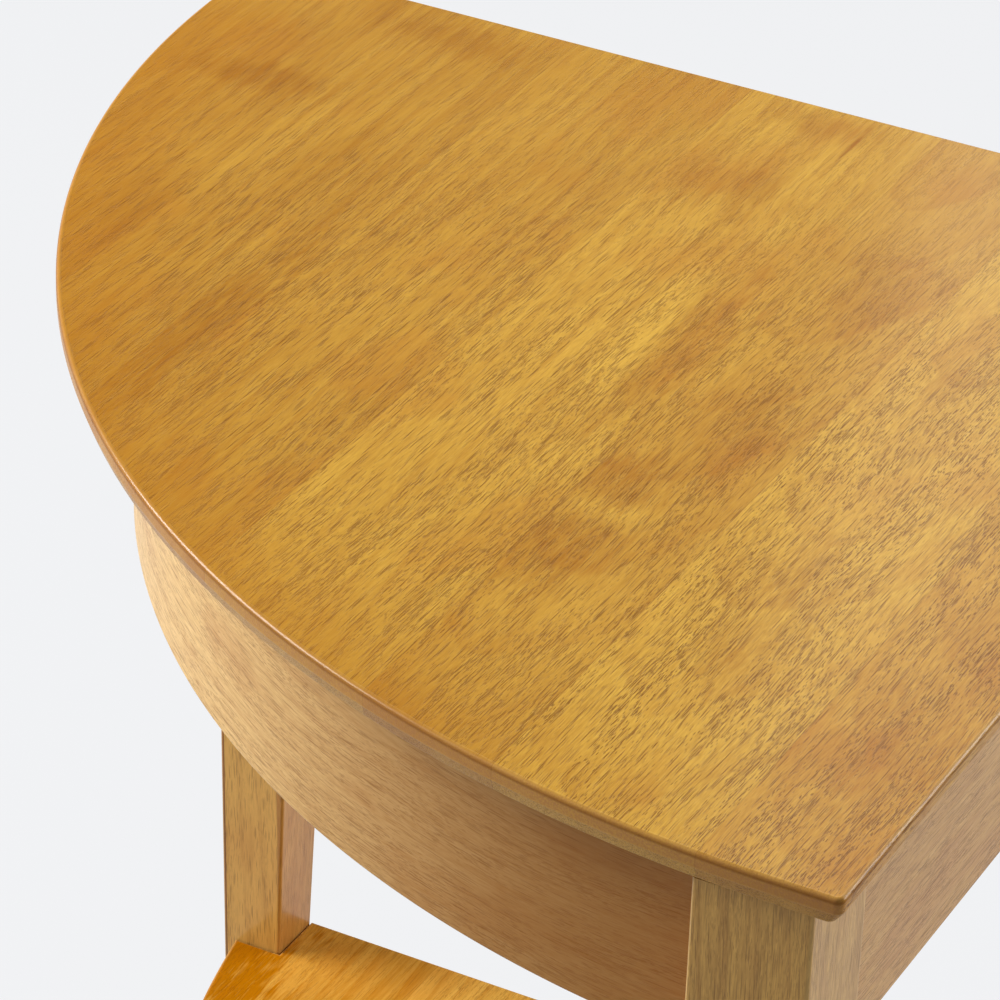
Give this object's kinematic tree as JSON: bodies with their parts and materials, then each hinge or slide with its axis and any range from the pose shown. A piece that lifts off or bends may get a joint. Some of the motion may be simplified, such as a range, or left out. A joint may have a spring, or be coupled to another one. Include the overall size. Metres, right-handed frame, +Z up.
{
  "type": "corner table",
  "caption": "Quarter-round side table for a room corner, with a curved front, tapered legs and a low shelf.",
  "frame": {"origin": "centre of the bounding box, on the floor under the table", "axes": "+Z up. +Y towards the wall behind the left straight side and +X towards the wall beside the right one, so the right-angle corner is at +X +Y and the curved front faces -X -Y"},
  "size_m": [0.45, 0.45, 0.6],
  "materials": {
    "honey_lacquer": "semi-gloss lacquer, golden",
    "amber_lacquer": "semi-gloss lacquer, amber",
    "tan_lacquer": "semi-gloss lacquer, tan",
    "raw_wood": "planed, unfinished",
    "beech_dowel": "turned, unfinished",
    "zinc_steel": "zinc plated",
    "brown_plastic": "matt"
  },
  "bodies": {
    "root": {"bent_front_rail": "tan_lacquer", "bent_rail_left_dowel_high": "beech_dowel", "bent_rail_left_dowel_low": "beech_dowel", "bent_rail_right_dowel_high": "beech_dowel", "bent_rail_right_dowel_low": "beech_dowel", "corner_leg": "tan_lacquer", "corner_leg_glide": "brown_plastic", "front_block_1": "raw_wood", "front_block_1_rail_screw_left": "zinc_steel", "front_block_1_rail_screw_right": "zinc_steel", "front_block_1_top_screw": "zinc_steel", "front_block_2": "raw_wood", "front_block_2_rail_screw_left": "zinc_steel", "front_block_2_rail_screw_right": "zinc_steel", "front_block_2_top_screw": "zinc_steel", "front_block_3": "raw_wood", "front_block_3_rail_screw_left": "zinc_steel", "front_block_3_rail_screw_right": "zinc_steel", "front_block_3_top_screw": "zinc_steel", "left_batten": "raw_wood", "left_batten_rail_screw_1": "zinc_steel", "left_batten_rail_screw_2": "zinc_steel", "left_batten_top_screw_1": "zinc_steel", "left_batten_top_screw_2": "zinc_steel", "left_leg": "tan_lacquer", "left_leg_glide": "brown_plastic", "left_rail": "tan_lacquer", "left_rail_corner_dowel_high": "beech_dowel", "left_rail_corner_dowel_low": "beech_dowel", "left_rail_far_dowel_high": "beech_dowel", "left_rail_far_dowel_low": "beech_dowel", "right_batten": "raw_wood", "right_batten_rail_screw_1": "zinc_steel", "right_batten_rail_screw_2": "zinc_steel", "right_batten_top_screw_1": "zinc_steel", "right_batten_top_screw_2": "zinc_steel", "right_leg": "tan_lacquer", "right_leg_glide": "brown_plastic", "right_rail": "tan_lacquer", "right_rail_corner_dowel_high": "beech_dowel", "right_rail_corner_dowel_low": "beech_dowel", "right_rail_far_dowel_high": "beech_dowel", "right_rail_far_dowel_low": "beech_dowel", "shelf": "amber_lacquer", "shelf_corner_left_dowel": "beech_dowel", "shelf_corner_right_dowel": "beech_dowel", "shelf_left_back_dowel": "beech_dowel", "shelf_left_front_dowel": "beech_dowel", "shelf_right_back_dowel": "beech_dowel", "shelf_right_front_dowel": "beech_dowel", "tabletop": "honey_lacquer"}
  },
  "joints": []
}
